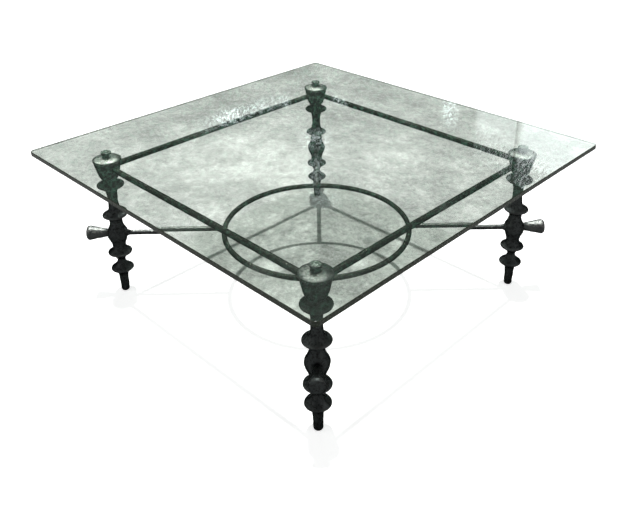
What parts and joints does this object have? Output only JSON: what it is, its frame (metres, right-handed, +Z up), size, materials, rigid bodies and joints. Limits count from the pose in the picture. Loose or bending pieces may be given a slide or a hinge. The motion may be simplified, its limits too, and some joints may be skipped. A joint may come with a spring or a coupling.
{
  "type": "coffee table",
  "caption": "Square glass coffee table on a wrought iron base: turned posts, socketed top rails, flared finials and stretchers that meet in a round middle ring.",
  "frame": {"origin": "on the floor, under the middle of the glass", "axes": "+Z up; the glass's sides and the rails run along X and Y; the posts stand on the diagonals"},
  "size_m": [1.067, 1.067, 0.44],
  "materials": {
    "wrought_iron": "dark green-black patina, hand forged, waxed satin",
    "plate_glass": "clear float glass with a pale green cast, ground edges",
    "clear_bumper": "clear soft plastic"
  },
  "bodies": {
    "base": {"glass_bumpers": "clear_bumper", "centre_ring": "wrought_iron", "bearer_front": "wrought_iron", "bearer_right": "wrought_iron", "bearer_back": "wrought_iron", "bearer_left": "wrought_iron", "lid_front": "wrought_iron", "lid_right": "wrought_iron", "lid_back": "wrought_iron", "lid_left": "wrought_iron", "cup_front": "wrought_iron", "cup_right": "wrought_iron", "cup_back": "wrought_iron", "cup_left": "wrought_iron", "post_front": "wrought_iron", "post_right": "wrought_iron", "post_back": "wrought_iron", "post_left": "wrought_iron", "rail_front_left": "wrought_iron", "rail_front_right": "wrought_iron", "rail_back_right": "wrought_iron", "rail_back_left": "wrought_iron", "stretcher_front": "wrought_iron", "stretcher_right": "wrought_iron", "stretcher_back": "wrought_iron", "stretcher_left": "wrought_iron", "finial_front": "wrought_iron", "finial_right": "wrought_iron", "finial_back": "wrought_iron", "finial_left": "wrought_iron"},
    "top": {"glass_top": "plate_glass"}
  },
  "joints": [
    {"name": "glass_lift", "type": "slide", "parent": "base", "child": "top", "axis": [0, 0, 1], "range_m": [0, 0.15]}
  ]
}
